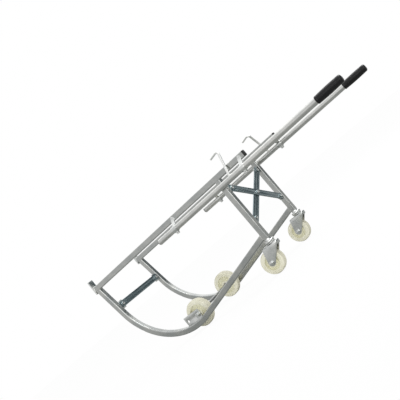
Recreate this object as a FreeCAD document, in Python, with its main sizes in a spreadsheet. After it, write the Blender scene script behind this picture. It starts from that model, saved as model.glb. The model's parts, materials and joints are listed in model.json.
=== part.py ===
import FreeCAD, Part
import math
import os

import Sketcher

# Drum trolley with two sliding handles. Two side frames of square tube, each a straight rail, a
# bent rocker and a rear leg, are joined by a bolted cross bar, a bolted X of flat bars and the
# front axle. It stands on two plain wheels and two swivel castors.
# Frame: X runs along the rails from the toe plates to the grips, -Y is the left of somebody who
# holds the grips, Z is up. The origin is on the floor below the middle of the overall length.
# In the sizes, places along X start at the front end of the rails. Lengths are in mm, angles in
# degrees.
SIZES = {
    # Side frames of square tube
    "tube_side": 25,
    "tube_wall": 2,
    "tube_corner": 4,
    "rail_length": 1002,
    "rail_top": 452,
    "rail_spacing": 378,
    "leg_inset": 158,
    "rocker_setback": 12.5,
    "rocker_lean_angle": 9.5,
    "rocker_radius": 285,
    "rocker_clearance": 17.7,
    "base_rise": 14,
    "cut_overrun": 30,
    # Plastic caps in the rear ends of the rails
    "cap_thickness": 3,
    "cap_depth": 14,
    # Toe plates under the drum
    "toe_width": 32,
    "toe_height": 70,
    "toe_thickness": 7,
    "toe_drop": 10,
    "toe_corner": 4,
    # Flat bars, their welded tabs and their bolts
    "bar_width": 30,
    "bar_thickness": 5,
    "bar_corner": 3,
    "bar_end": 13,
    "bar_bolt_inset": 20,
    "cross_bar_drop": 117,
    "cross_tab_height": 42,
    "brace_rise": 87,
    "brace_drop": 53,
    "brace_tab_height": 30,
    "brace_offset": 5,
    "tab_thickness": 5,
    "tab_margin": 12,
    "bar_bolt_diameter": 8,
    "bar_bolt_head": 5.5,
    "bar_bolt_flats": 13,
    "bar_nut_height": 6.5,
    "bolt_tail": 2,
    "hole_clearance": 0.2,
    # Handles, hooks and grips
    "handle_diameter": 26,
    "handle_wall": 2,
    "handle_outset": 42,
    "handle_drop": 28,
    "handle_overhang": 100,
    "handle_length": 985,
    "plug_dome": 5,
    "plug_shoulder": 2.5,
    "plug_bevel": 1.2,
    "plug_depth": 18,
    "grip_length": 114,
    "grip_diameter": 34,
    "grip_end_wall": 4,
    "grip_round": 7,
    "grip_edge": 2.3,
    "grip_waist": 1,
    "hook_inset": 86,
    "hook_diameter": 10,
    "hook_rise": 60.7,
    "hook_clearance": 2.1,
    "hook_offset": 6.5,
    "hook_arm": 30,
    "hook_dip_angle": 12,
    "hook_bend": 12,
    # Guides that the handles slide in
    "upper_guide_inset": 22,
    "guide_spacing": 405,
    "guide_length": 24,
    "guide_wall": 2,
    "guide_clearance": 0.06,
    "strap_width": 17,
    "strap_thickness": 4,
    "clamp_bolt_diameter": 8,
    "clamp_bolt_flats": 13,
    "clamp_bolt_head": 5,
    "clamp_bolt_gap": 0.5,
    "clamp_nut_flats": 16,
    "clamp_nut_height": 3.5,
    "clamp_tip_gap": 0.3,
    # Plain front wheels, their brackets and their axle
    "front_wheel_diameter": 125,
    "front_wheel_width": 32,
    "front_hub_width": 34,
    "front_hub_diameter": 42,
    "front_rim_inside": 84,
    "front_web": 20,
    "front_bush_diameter": 20,
    "axle_offset": 27.8,
    "front_axle_diameter": 12,
    "axle_spacer_wall": 1,
    "axle_nut_flats": 19,
    "axle_nut_height": 10,
    "axle_tail": 3,
    "washer_diameter": 24,
    "washer_thickness": 2,
    "bracket_length": 92,
    "bracket_height": 58,
    "bracket_thickness": 4,
    "bracket_reach": 12,
    "bracket_above": 23,
    "spare_hole_diameter": 12,
    "spare_hole_inset": 14,
    # Swivel castors
    "castor_wheel_diameter": 100,
    "castor_wheel_width": 32,
    "castor_hub_width": 34,
    "castor_hub_diameter": 36,
    "castor_rim_inside": 62,
    "castor_web": 20,
    "castor_trail": 44,
    "castor_bush_diameter": 15,
    "castor_axle_diameter": 10,
    "castor_axle_flats": 17,
    "castor_axle_head": 6.5,
    "castor_axle_nut": 8,
    "fork_sheet": 3.5,
    "fork_gap": 0.4,
    "fork_end_radius": 16,
    "fork_end_angle": 40,
    "crown_front": 30,
    "crown_rear": 46,
    "crown_headroom": 9.5,
    "head_height": 18.7,
    "race_height": 3,
    "race_diameter": 40,
    "race_bore": 28,
    "cup_diameter": 43,
    "cup_height": 11,
    "cup_bevel": 2,
    "collar_diameter": 27,
    "kingpin_diameter": 12,
    "kingpin_head_diameter": 20,
    "kingpin_head": 6,
    # Wheels and running fits
    "tread_edge": 4,
    "recess_slope": 3,
    "running_clearance": 0.05,
    "end_clearance": 0.3,
}

SIDES = (("left", -1), ("right", 1))
HEXAGON_COUNT = 6
QUARTER_TURN_ANGLE = 90
HALF_TURN_ANGLE = 180
FULL_TURN_ANGLE = 360

doc = FreeCAD.newDocument("drum_trolley")
sheet = doc.addObject("Spreadsheet::Sheet", "sizes")
for row, (alias, number) in enumerate(SIZES.items(), 1):
    sheet.set(f"A{row}", alias)
    sheet.set(f"B{row}", str(number))
    sheet.setAlias(f"B{row}", alias)
doc.recompute()


class Size:
    """A size worked out from the sheet: its value now and the expression that keeps it so."""

    def __init__(self, value, text):
        self.value = value
        self.text = text

    def __add__(self, other):
        other = as_size(other)
        return Size(self.value + other.value, f"({self.text} + {other.text})")

    def __sub__(self, other):
        other = as_size(other)
        return Size(self.value - other.value, f"({self.text} - {other.text})")

    def __mul__(self, other):
        other = as_size(other)
        return Size(self.value * other.value, f"({self.text} * {other.text})")

    def __truediv__(self, other):
        other = as_size(other)
        return Size(self.value / other.value, f"({self.text} / {other.text})")

    def __neg__(self):
        return self * -1

    __rmul__ = __mul__


def as_size(number):
    return number if isinstance(number, Size) else Size(float(number), f"({number})")


def sine(angle):
    return Size(math.sin(math.radians(angle.value)), f"sin({angle.text})")


def cosine(angle):
    return Size(math.cos(math.radians(angle.value)), f"cos({angle.text})")


def tangent(angle):
    return Size(math.tan(math.radians(angle.value)), f"tan({angle.text})")


def arc_sine(ratio):
    return Size(math.degrees(math.asin(ratio.value)), f"(asin({ratio.text}) / 1 deg)")


def slope_angle(rise, run):
    ratio = rise / run
    return Size(math.degrees(math.atan(ratio.value)), f"(atan({ratio.text}) / 1 deg)")


def diagonal(first, second):
    return Size(math.hypot(first.value, second.value), f"hypot({first.text}; {second.text})")


class SheetSizes:
    """Hands out each cell of the sheet as a Size, by its alias."""

    def __getattr__(self, alias):
        return Size(float(sheet.get(alias)), f"sizes.{alias}")


s = SheetSizes()
zero = as_size(0)

# Places and sizes that several pieces share
rail_bottom = s.rail_top - s.tube_side
rail_middle = s.rail_top - s.tube_side / 2
side_place = s.rail_spacing / 2
inner_face = side_place - s.tube_side / 2
leg_place = s.rail_length - s.leg_inset
leg_front = leg_place - s.tube_side / 2
upper_guide_place = s.rail_length - s.upper_guide_inset
lower_guide_place = upper_guide_place - s.guide_spacing
handle_place = side_place + s.handle_outset
handle_height = rail_bottom - s.handle_drop
handle_start = lower_guide_place - s.handle_overhang
handle_radius = s.handle_diameter / 2
guide_bore = handle_radius + s.guide_clearance
guide_radius = guide_bore + s.guide_wall
front_axle_height = s.front_wheel_diameter / 2
front_axle_radius = s.front_axle_diameter / 2
wheel_outer_face = inner_face - s.bracket_thickness - s.washer_thickness
front_wheel_place = wheel_outer_face - s.front_hub_width / 2
castor_axle_height = s.castor_wheel_diameter / 2
fork_inside = s.castor_hub_width + s.fork_gap * 2
fork_outside = fork_inside + s.fork_sheet * 2
crown_under = s.castor_wheel_diameter + s.crown_headroom
crown_top = crown_under + s.fork_sheet
cup_bottom = crown_top + s.race_height + s.end_clearance
leg_bottom = cup_bottom + s.head_height
base_height = leg_bottom + s.base_rise
bend_height = s.rocker_clearance + s.rocker_radius + s.tube_side / 2
bend_fall = rail_bottom - bend_height
bend_reach = bend_fall * tangent(s.rocker_lean_angle) + s.rocker_radius / cosine(s.rocker_lean_angle)
bend_place = s.rocker_setback + bend_reach
front_axle_place = bend_place + s.axle_offset
grip_end = handle_start + s.handle_length + s.grip_end_wall
middle_place = (grip_end - s.toe_thickness) / 2

pieces = []


def vector(x, y, z):
    return FreeCAD.Vector(x, y, z)


TURNS = {
    "X": FreeCAD.Rotation(vector(0, 1, 0), QUARTER_TURN_ANGLE),
    "Y": FreeCAD.Rotation(vector(1, 0, 0), -QUARTER_TURN_ANGLE),
    "Z": FreeCAD.Rotation(),
}


def bind(thing, **links):
    """Binds properties to sizes; two underscores stand for the dots in a property's path."""
    for name, size in links.items():
        thing.setExpression(name.replace("__", "."), as_size(size).text)


def move(thing, x=0, y=0, z=0):
    bind(thing, Placement__Base__x=x, Placement__Base__y=y, Placement__Base__z=z)


def finish(thing, label, x=0, y=0, z=0, turn_axis=None, turn=zero):
    """Names a finished piece and sets it in the trolley's frame."""
    thing.Label = label
    if turn_axis:
        thing.Placement = FreeCAD.Placement(vector(0, 0, 0), FreeCAD.Rotation(turn_axis, turn.value))
        bind(thing, Placement__Rotation__Angle=turn)
    move(thing, as_size(x) - middle_place, y, z)
    pieces.append(thing)


def box(name, length, width, height, x=0, y=0, z=0):
    thing = doc.addObject("Part::Box", name)
    bind(thing, Length=length, Width=width, Height=height)
    move(thing, x, y, z)
    return thing


def cylinder(name, radius, height, axis="Z", x=0, y=0, z=0):
    thing = doc.addObject("Part::Cylinder", name)
    thing.Placement = FreeCAD.Placement(vector(0, 0, 0), TURNS[axis])
    bind(thing, Radius=radius, Height=height)
    move(thing, x, y, z)
    return thing


def hexagon(name, flats, height, axis="Z", x=0, y=0, z=0):
    thing = doc.addObject("Part::Prism", name)
    thing.Placement = FreeCAD.Placement(vector(0, 0, 0), TURNS[axis])
    thing.Polygon = HEXAGON_COUNT
    bind(thing, Circumradius=flats / 2 / cosine(as_size(HALF_TURN_ANGLE / HEXAGON_COUNT)), Height=height)
    move(thing, x, y, z)
    return thing


def boolean(kind, name, base, tool):
    thing = doc.addObject(kind, name)
    thing.Base = base
    thing.Tool = tool
    return thing


def cut(name, base, tool):
    return boolean("Part::Cut", name, base, tool)


def fuse(name, base, tool):
    return boolean("Part::Fuse", name, base, tool)


def group(name, solids):
    thing = doc.addObject("Part::Compound", name)
    thing.Links = solids
    return thing


def new_body(name):
    return doc.addObject("PartDesign::Body", name)


def new_sketch(body, name, role, lift=None):
    """Starts a sketch on one of the body's own planes, lifted along the plane's normal."""
    sketch = body.newObject("Sketcher::SketchObject", f"{body.Name}_{name}")
    plane = next(feature for feature in body.Origin.OriginFeatures if feature.Role == role)
    sketch.AttachmentSupport = [(plane, "")]
    sketch.MapMode = "FlatFace"
    if lift is not None:
        bind(sketch, AttachmentOffset__Base__z=lift)
    return sketch


def hold(sketch, constraint, size):
    index = sketch.addConstraint(constraint)
    sketch.setExpression(f"Constraints[{index}]", size.text)


def pin(sketch, geometry, end, x, y):
    """Fixes one point of a sketch at its distance from the sketch's origin."""
    hold(sketch, Sketcher.Constraint("DistanceX", -1, 1, geometry, end, x.value), x)
    hold(sketch, Sketcher.Constraint("DistanceY", -1, 1, geometry, end, y.value), y)


def ring(sketch, radius, x=zero, y=zero):
    circle = Part.Circle(vector(x.value, y.value, 0), vector(0, 0, 1), radius.value)
    index = sketch.addGeometry(circle)
    pin(sketch, index, 3, x, y)
    hold(sketch, Sketcher.Constraint("Radius", index, radius.value), radius)


def line(sketch, start, end):
    """Draws a line between two points and pins both."""
    first = vector(start[0].value, start[1].value, 0)
    last = vector(end[0].value, end[1].value, 0)
    index = sketch.addGeometry(Part.LineSegment(first, last))
    pin(sketch, index, 1, *start)
    pin(sketch, index, 2, *end)
    return index


def arc_between(sketch, first_line, second_line, centre, radius, first_angle, last_angle):
    """Joins the end of one line to the start of another with an arc of a known radius."""
    circle = Part.Circle(vector(centre[0].value, centre[1].value, 0), vector(0, 0, 1), radius.value)
    turn = (math.radians(first_angle.value), math.radians(last_angle.value))
    index = sketch.addGeometry(Part.ArcOfCircle(circle, min(turn), max(turn)))
    near, far = (1, 2) if turn[0] < turn[1] else (2, 1)
    sketch.addConstraint(Sketcher.Constraint("Coincident", first_line, 2, index, near))
    sketch.addConstraint(Sketcher.Constraint("Coincident", second_line, 1, index, far))
    hold(sketch, Sketcher.Constraint("Radius", index, radius.value), radius)


def outline(sketch, points):
    """Draws a closed outline of straight edges, each corner pinned once."""
    count = len(points)
    first = sketch.GeometryCount
    for index in range(count):
        start = points[index]
        end = points[(index + 1) % count]
        edge = Part.LineSegment(
            vector(start[0].value, start[1].value, 0), vector(end[0].value, end[1].value, 0))
        sketch.addGeometry(edge)
    for index in range(count):
        after = first + (index + 1) % count
        sketch.addConstraint(Sketcher.Constraint("Coincident", first + index, 2, after, 1))
        pin(sketch, first + index, 1, *points[index])


def rounded_rectangle(sketch, width, height, radius):
    """Draws a rectangle with round corners, centred on the sketch's origin."""
    across = width.value / 2
    up = height.value / 2
    bend = radius.value
    lines = (
        ((bend - across, -up), (across - bend, -up)),
        ((across, bend - up), (across, up - bend)),
        ((across - bend, up), (bend - across, up)),
        ((-across, up - bend), (-across, bend - up)),
    )
    centres = (
        (across - bend, bend - up),
        (across - bend, up - bend),
        (bend - across, up - bend),
        (bend - across, bend - up),
    )
    first = sketch.GeometryCount
    corners = len(lines)
    for index in range(corners):
        start, end = lines[index]
        sketch.addGeometry(Part.LineSegment(vector(*start, 0), vector(*end, 0)))
        circle = Part.Circle(vector(*centres[index], 0), vector(0, 0, 1), bend)
        angle = (index - 1) * math.pi / 2
        sketch.addGeometry(Part.ArcOfCircle(circle, angle, angle + math.pi / 2))
    for index in range(corners):
        edge = first + 2 * index
        after = first + (2 * index + 2) % (2 * corners)
        direction = "Vertical" if index % 2 else "Horizontal"
        sketch.addConstraint(Sketcher.Constraint("Tangent", edge, 2, edge + 1, 1))
        sketch.addConstraint(Sketcher.Constraint("Tangent", edge + 1, 2, after, 1))
        sketch.addConstraint(Sketcher.Constraint(direction, edge))
        if index:
            sketch.addConstraint(Sketcher.Constraint("Equal", first + 1, edge + 1))
    sketch.addConstraint(Sketcher.Constraint("Symmetric", first, 1, first + 4, 1, -1, 1))
    hold(sketch, Sketcher.Constraint("Radius", first + 1, bend), radius)
    hold(sketch, Sketcher.Constraint("DistanceX", first + 6, 1, first + 2, 1, width.value), width)
    hold(sketch, Sketcher.Constraint("DistanceY", first, 1, first + 4, 1, height.value), height)


def tube_section(sketch):
    inside = s.tube_side - s.tube_wall * 2
    rounded_rectangle(sketch, s.tube_side, s.tube_side, s.tube_corner)
    rounded_rectangle(sketch, inside, inside, s.tube_corner - s.tube_wall)


def add_pad(body, sketch, length, symmetric=False, reverse=False):
    pad = body.newObject("PartDesign::Pad", f"{sketch.Name}_pad")
    pad.Profile = sketch
    pad.SideType = "Symmetric" if symmetric else "One side"
    pad.Reversed = reverse
    bind(pad, Length=length)
    return pad


def add_pocket(body, sketch, length, symmetric=False, reverse=False):
    pocket = body.newObject("PartDesign::Pocket", f"{sketch.Name}_pocket")
    pocket.Profile = sketch
    pocket.SideType = "Symmetric" if symmetric else "One side"
    pocket.Reversed = reverse
    bind(pocket, Length=length)
    return pocket


def turned(name, points, role, axis):
    """Turns an outline about one axis of its sketch, as on a lathe."""
    body = new_body(name)
    sketch = new_sketch(body, "outline", role)
    outline(sketch, points)
    feature = body.newObject("PartDesign::Revolution", f"{name}_turned")
    feature.Profile = sketch
    feature.ReferenceAxis = (sketch, [axis])
    feature.Angle = FULL_TURN_ANGLE
    return body


def bored(name, blank, radius, height, axis, x, y, z):
    """Bores a blank right through along one axis."""
    overrun = s.cut_overrun
    starts = {
        "X": (as_size(x) - overrun, y, z),
        "Y": (x, as_size(y) - overrun, z),
        "Z": (x, y, as_size(z) - overrun),
    }
    return cut(name, blank, cylinder(f"{name}_bore", radius, height + overrun * 2, axis, *starts[axis]))


def tube_ring(name, outer, inner, height, axis, x=0, y=0, z=0):
    """Makes a plain sleeve or washer along one axis."""
    blank = cylinder(f"{name}_outside", outer, height, axis, x, y, z)
    return bored(name, blank, inner, height, axis, x, y, z)


def hex_nut(name, flats, height, bore, axis, x=0, y=0, z=0):
    blank = hexagon(f"{name}_body", flats, height, axis, x, y, z)
    return bored(name, blank, bore, height, axis, x, y, z)


def square_tube(name, role, length):
    body = new_body(name)
    sketch = new_sketch(body, "section", role)
    tube_section(sketch)
    add_pad(body, sketch, length)
    return body


def make_rail(side, sign):
    rail = square_tube(f"rail_{side}", "YZ_Plane", s.rail_length)
    finish(rail, f"rail_{side}", y=side_place * sign, z=rail_middle)


def make_rail_cap(side, sign):
    inside = s.tube_side - s.tube_wall * 2
    cap = new_body(f"rail_cap_{side}")
    plate = new_sketch(cap, "plate", "YZ_Plane")
    rounded_rectangle(plate, s.tube_side, s.tube_side, s.tube_corner)
    add_pad(cap, plate, s.cap_thickness)
    plug = new_sketch(cap, "plug", "YZ_Plane")
    rounded_rectangle(plug, inside, inside, s.tube_corner - s.tube_wall)
    add_pad(cap, plug, s.cap_depth, reverse=True)
    finish(cap, f"rail_cap_{side}", s.rail_length, side_place * sign, rail_middle)


def make_rear_leg(side, sign):
    leg = square_tube(f"rear_leg_{side}", "XY_Plane", rail_bottom - leg_bottom)
    finish(leg, f"rear_leg_{side}", leg_place, side_place * sign, leg_bottom)


def make_rocker(side, sign):
    """Bends one tube from the rail's front end down, round and back up to the rear leg."""
    lean = s.rocker_lean_angle
    radius = s.rocker_radius
    across = leg_front - bend_place
    down = bend_height - base_height
    spread = diagonal(across, down)
    touch = arc_sine(radius / spread)
    turn = as_size(QUARTER_TURN_ANGLE) - lean + touch - slope_angle(down, across)
    leg_run = bend_reach * sine(lean) + bend_fall * cosine(lean)
    base_run = spread * cosine(touch) + s.cut_overrun
    body = new_body(f"rocker_{side}_bend")
    section = new_sketch(body, "section", "XY_Plane", s.cut_overrun)
    tube_section(section)
    path = new_sketch(body, "path", "XZ_Plane")
    bend_start = (zero, -leg_run)
    bend_end = (radius * (as_size(1) - cosine(turn)), -leg_run - radius * sine(turn))
    base_end = (bend_end[0] + base_run * sine(turn), bend_end[1] - base_run * cosine(turn))
    leg_line = line(path, (zero, s.cut_overrun), bend_start)
    base_line = line(path, bend_end, base_end)
    half_turn = as_size(HALF_TURN_ANGLE)
    arc_between(path, leg_line, base_line, (radius, -leg_run), radius, half_turn, half_turn + turn)
    pipe = body.newObject("PartDesign::AdditivePipe", f"rocker_{side}_pipe")
    pipe.Profile = section
    pipe.Spine = (path, ["Edge1", "Edge3", "Edge2"])
    body.Placement = FreeCAD.Placement(vector(0, 0, 0), FreeCAD.Rotation(vector(0, -1, 0), lean.value))
    bind(body, Placement__Rotation__Angle=lean)
    move(body, s.rocker_setback, zero, rail_bottom)
    room = box(f"rocker_{side}_room", leg_front, s.tube_side * 2, rail_bottom, y=-s.tube_side)
    finish(boolean("Part::Common", f"rocker_{side}", body, room), f"rocker_{side}", y=side_place * sign)


def make_toe_plate(side, sign):
    plate = new_body(f"toe_plate_{side}")
    sketch = new_sketch(plate, "face", "YZ_Plane")
    rounded_rectangle(sketch, s.toe_width, s.toe_height, s.toe_corner)
    add_pad(plate, sketch, s.toe_thickness, reverse=True)
    height = rail_bottom - s.toe_drop + s.toe_height / 2
    finish(plate, f"toe_plate_{side}", y=side_place * sign, z=height)


def flat_bar(name, hole_span, centre_hole):
    """Makes a flat bar across the trolley with a bolt hole near each end."""
    hole = (s.bar_bolt_diameter + s.hole_clearance) / 2
    bar = new_body(name)
    sketch = new_sketch(bar, "face", "YZ_Plane")
    rounded_rectangle(sketch, hole_span + s.bar_end * 2, s.bar_width, s.bar_corner)
    ring(sketch, hole, -hole_span / 2)
    ring(sketch, hole, hole_span / 2)
    if centre_hole:
        ring(sketch, hole)
    add_pad(bar, sketch, s.bar_thickness)
    return bar


def welded_tab(name, x, sign, z, height):
    """Makes a tab on the inner face of a leg, drilled for one bolt."""
    width = s.bar_bolt_inset + s.tab_margin
    low = inner_face - width if sign > 0 else -inner_face
    hole = (s.bar_bolt_diameter + s.hole_clearance) / 2
    plate = box(f"{name}_plate", s.tab_thickness, width, height, x, low, z - height / 2)
    drill = cylinder(f"{name}_drill", hole, s.tab_thickness + s.cut_overrun * 2, "X",
                     as_size(x) - s.cut_overrun, (inner_face - s.bar_bolt_inset) * sign, z)
    return cut(name, plate, drill)


def bar_bolt(name, x, y, z, grip):
    """Makes a bolt whose head sits on the plane at x and whose shank runs back through grip and nut."""
    shank = grip + s.bar_nut_height + s.bolt_tail
    head = hexagon(f"{name}_head", s.bar_bolt_flats, s.bar_bolt_head, "X", x, y, z)
    stem = cylinder(f"{name}_stem", s.bar_bolt_diameter / 2, shank, "X", x - shank, y, z)
    return fuse(name, head, stem)


def bar_nut(name, x, y, z):
    return hex_nut(name, s.bar_bolt_flats, s.bar_nut_height, s.bar_bolt_diameter / 2, "X",
                   x - s.bar_nut_height, y, z)


def make_cross_bar():
    height = rail_bottom - s.cross_bar_drop
    tab_front = s.rocker_setback + s.cross_bar_drop * tangent(s.rocker_lean_angle)
    bar_front = tab_front + s.tab_thickness
    bolt_place = inner_face - s.bar_bolt_inset
    grip = s.tab_thickness + s.bar_thickness
    tabs = []
    bolts = []
    nuts = []
    for side, sign in SIDES:
        where = (bolt_place * sign, height)
        tabs.append(welded_tab(f"cross_tab_{side}", tab_front, sign, height, s.cross_tab_height))
        bolts.append(bar_bolt(f"cross_bolt_{side}", bar_front + s.bar_thickness, *where, grip))
        nuts.append(bar_nut(f"cross_nut_{side}", tab_front, *where))
    bar = flat_bar("front_cross_bar", bolt_place * 2, False)
    finish(bar, "front_cross_bar", bar_front, z=height)
    finish(group("cross_bar_tabs", tabs), "cross_bar_tabs")
    finish(group("cross_bar_bolts", bolts), "cross_bar_bolts")
    finish(group("cross_bar_nuts", nuts), "cross_bar_nuts")


def make_brace():
    """Crosses two flat bars between the rear legs, face to face where they meet."""
    crossing = leg_place + s.brace_offset
    rear_face = crossing + s.bar_thickness
    front_face = crossing - s.bar_thickness
    bolt_place = inner_face - s.bar_bolt_inset
    low = leg_bottom + s.brace_rise
    high = rail_bottom - s.brace_drop
    rise = high - low
    middle = (high + low) / 2
    lean = slope_angle(rise, bolt_place * 2)
    span = diagonal(rise, bolt_place * 2)
    grip = s.tab_thickness + s.bar_thickness
    tabs = []
    bolts = []
    nuts = []
    for side, sign in SIDES:
        for level, height in (("low", low), ("high", high)):
            name = f"{level}_{side}"
            where = (bolt_place * sign, height)
            behind = (sign < 0) == (level == "high")
            head = rear_face if behind else crossing
            tabs.append(welded_tab(f"brace_tab_{name}", head - grip, sign, height, s.brace_tab_height))
            bolts.append(bar_bolt(f"brace_bolt_{name}", head, *where, grip))
            nuts.append(bar_nut(f"brace_nut_{name}", head - grip, *where))
    bolts.append(bar_bolt("brace_bolt_middle", rear_face, zero, middle, s.bar_thickness * 2))
    nuts.append(bar_nut("brace_nut_middle", front_face, zero, middle))
    axis = vector(1, 0, 0)
    rear = flat_bar("brace_bar_rear", span, True)
    finish(rear, "brace_bar_rear", crossing, z=middle, turn_axis=axis, turn=-lean)
    front = flat_bar("brace_bar_front", span, True)
    finish(front, "brace_bar_front", front_face, z=middle, turn_axis=axis, turn=lean)
    finish(group("brace_tabs", tabs), "brace_tabs")
    finish(group("brace_bolts", bolts), "brace_bolts")
    finish(group("brace_nuts", nuts), "brace_nuts")


def make_guide(level, place, side, sign):
    """Makes a sleeve round the handle with a bent strap up to the outer face of the rail."""
    name = f"{level}_guide_{side}"
    face = handle_place - side_place - s.tube_side / 2
    low = rail_bottom - handle_height + s.tube_corner
    high = s.rail_top - handle_height - s.tube_corner
    middle = rail_middle - handle_height
    thick = s.strap_thickness
    reach = face - thick / 2
    rise = middle * reach / face
    arm_y = middle / diagonal(face, middle) * thick / 2
    arm_z = face / diagonal(face, middle) * thick / 2
    guide = new_body(name)
    foot = new_sketch(guide, "foot", "YZ_Plane")
    outline(foot, ((face - thick, low), (face, low), (face, high), (face - thick, high)))
    add_pad(guide, foot, s.strap_width, symmetric=True)
    arm = new_sketch(guide, "arm", "YZ_Plane")
    outline(arm, (
        (arm_y, -arm_z),
        (reach + arm_y, rise - arm_z),
        (reach - arm_y, rise + arm_z),
        (-arm_y, arm_z),
    ))
    add_pad(guide, arm, s.strap_width, symmetric=True)
    sleeve = new_sketch(guide, "sleeve", "YZ_Plane")
    ring(sleeve, guide_radius)
    add_pad(guide, sleeve, s.guide_length, symmetric=True)
    bore = new_sketch(guide, "bore", "YZ_Plane")
    ring(bore, guide_bore)
    add_pocket(guide, bore, s.guide_length + s.cut_overrun, symmetric=True)
    hole = new_sketch(guide, "bolt_hole", "XY_Plane")
    ring(hole, s.clamp_bolt_diameter / 2 + s.hole_clearance)
    add_pocket(guide, hole, guide_radius + s.cut_overrun)
    turn = zero if sign < 0 else as_size(HALF_TURN_ANGLE)
    finish(guide, name, place, handle_place * sign, handle_height, vector(0, 0, 1), turn)


def clamp_screw(name, place, y):
    """Makes the weld nut below a sleeve and the bolt that clamps the handle, as two solids."""
    nut_bottom = handle_height - guide_radius - s.clamp_nut_height
    seat = s.clamp_nut_height + guide_radius / 2
    bolt = s.clamp_bolt_diameter / 2
    blank = hexagon(f"{name}_blank", s.clamp_nut_flats, seat, "Z", place, y, nut_bottom)
    saddle = cylinder(f"{name}_saddle", guide_radius, s.guide_length, "X",
                      place - s.guide_length / 2, y, handle_height)
    thread = cylinder(f"{name}_thread", bolt, seat, "Z", place, y, nut_bottom)
    nut = cut(f"{name}_nut", cut(f"{name}_seat", blank, saddle), thread)
    head_top = nut_bottom - s.clamp_bolt_gap
    tip = handle_height - handle_radius - s.clamp_tip_gap
    stem = cylinder(f"{name}_stem", bolt, tip - head_top, "Z", place, y, head_top)
    head = hexagon(f"{name}_head", s.clamp_bolt_flats, s.clamp_bolt_head, "Z", place, y,
                   head_top - s.clamp_bolt_head)
    return nut, fuse(f"{name}_bolt", head, stem)


def make_guides():
    nuts = []
    bolts = []
    for level, place in (("lower", lower_guide_place), ("upper", upper_guide_place)):
        for side, sign in SIDES:
            make_guide(level, place, side, sign)
            nut, bolt = clamp_screw(f"{level}_clamp_{side}", place, handle_place * sign)
            nuts.append(nut)
            bolts.append(bolt)
    finish(group("guide_nuts", nuts), "guide_nuts")
    finish(group("guide_clamp_bolts", bolts), "guide_clamp_bolts")


def make_handle(side, sign):
    inside = handle_radius - s.handle_wall
    where = (handle_place * sign, handle_height)
    tube = new_body(f"handle_tube_{side}")
    section = new_sketch(tube, "section", "YZ_Plane")
    ring(section, handle_radius)
    ring(section, inside)
    add_pad(tube, section, s.handle_length)
    finish(tube, f"handle_tube_{side}", handle_start, *where)
    plug = turned(f"tube_plug_{side}", (
        (-s.plug_dome, zero),
        (s.plug_depth, zero),
        (s.plug_depth, inside),
        (zero, inside),
        (zero, handle_radius),
        (-s.plug_shoulder, handle_radius - s.plug_bevel),
        (-s.plug_dome, handle_radius - s.plug_dome),
    ), "XZ_Plane", "H_Axis")
    finish(plug, f"tube_plug_{side}", handle_start, *where)
    make_grip(side, where)
    make_hook(side, sign, where)


def make_grip(side, where):
    """Turns a rubber grip, a little barrelled, closed over the end of the handle."""
    radius = s.grip_diameter / 2
    bottom = s.grip_length - s.grip_end_wall
    grip = turned(f"grip_{side}", (
        (zero, handle_radius),
        (bottom, handle_radius),
        (bottom, zero),
        (s.grip_length, zero),
        (s.grip_length, radius - s.grip_round),
        (s.grip_length - s.grip_edge, radius - s.grip_edge),
        (s.grip_length - s.grip_round, radius - s.grip_waist / 2),
        (s.grip_length / 2, radius),
        (s.grip_round, radius - s.grip_waist / 2),
        (s.grip_edge, radius - s.grip_waist),
        (zero, radius - s.grip_waist * 2),
    ), "XZ_Plane", "H_Axis")
    finish(grip, f"grip_{side}", grip_end - s.grip_length, *where)


def make_hook(side, sign, where):
    """Bends a rod that stands on the handle, leans in over the rail and turns forward at its top."""
    radius = s.hook_diameter / 2
    past = handle_place - side_place - s.tube_side / 2
    above = s.rail_top - handle_height
    spare = radius + s.hook_clearance - s.hook_offset
    lean = slope_angle(past, above) - arc_sine(spare / diagonal(past, above))
    straight = (above + s.hook_rise) / cosine(lean) - s.hook_bend
    hook = new_body(f"hook_{side}")
    section = new_sketch(hook, "section", "XY_Plane")
    ring(section, radius, zero, s.hook_offset * sign)
    path = new_sketch(hook, "path", "XZ_Plane", s.hook_offset * -sign)
    centre = (-s.hook_bend, straight)
    turn = as_size(QUARTER_TURN_ANGLE) + s.hook_dip_angle
    bend_end = (centre[0] + s.hook_bend * cosine(turn), straight + s.hook_bend * sine(turn))
    tip = (bend_end[0] - s.hook_arm * sine(turn), bend_end[1] + s.hook_arm * cosine(turn))
    upright = line(path, (zero, zero), (zero, straight))
    arm = line(path, bend_end, tip)
    arc_between(path, upright, arm, centre, s.hook_bend, zero, turn)
    pipe = hook.newObject("PartDesign::AdditivePipe", f"hook_{side}_rod")
    pipe.Profile = section
    pipe.Spine = (path, ["Edge1", "Edge3", "Edge2"])
    saddle = new_sketch(hook, "saddle", "YZ_Plane")
    ring(saddle, handle_radius)
    add_pocket(hook, saddle, s.hook_diameter + s.cut_overrun, symmetric=True)
    place = s.rail_length - s.hook_inset
    finish(hook, f"hook_{side}", place, *where, vector(1, 0, 0), lean * sign)


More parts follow.
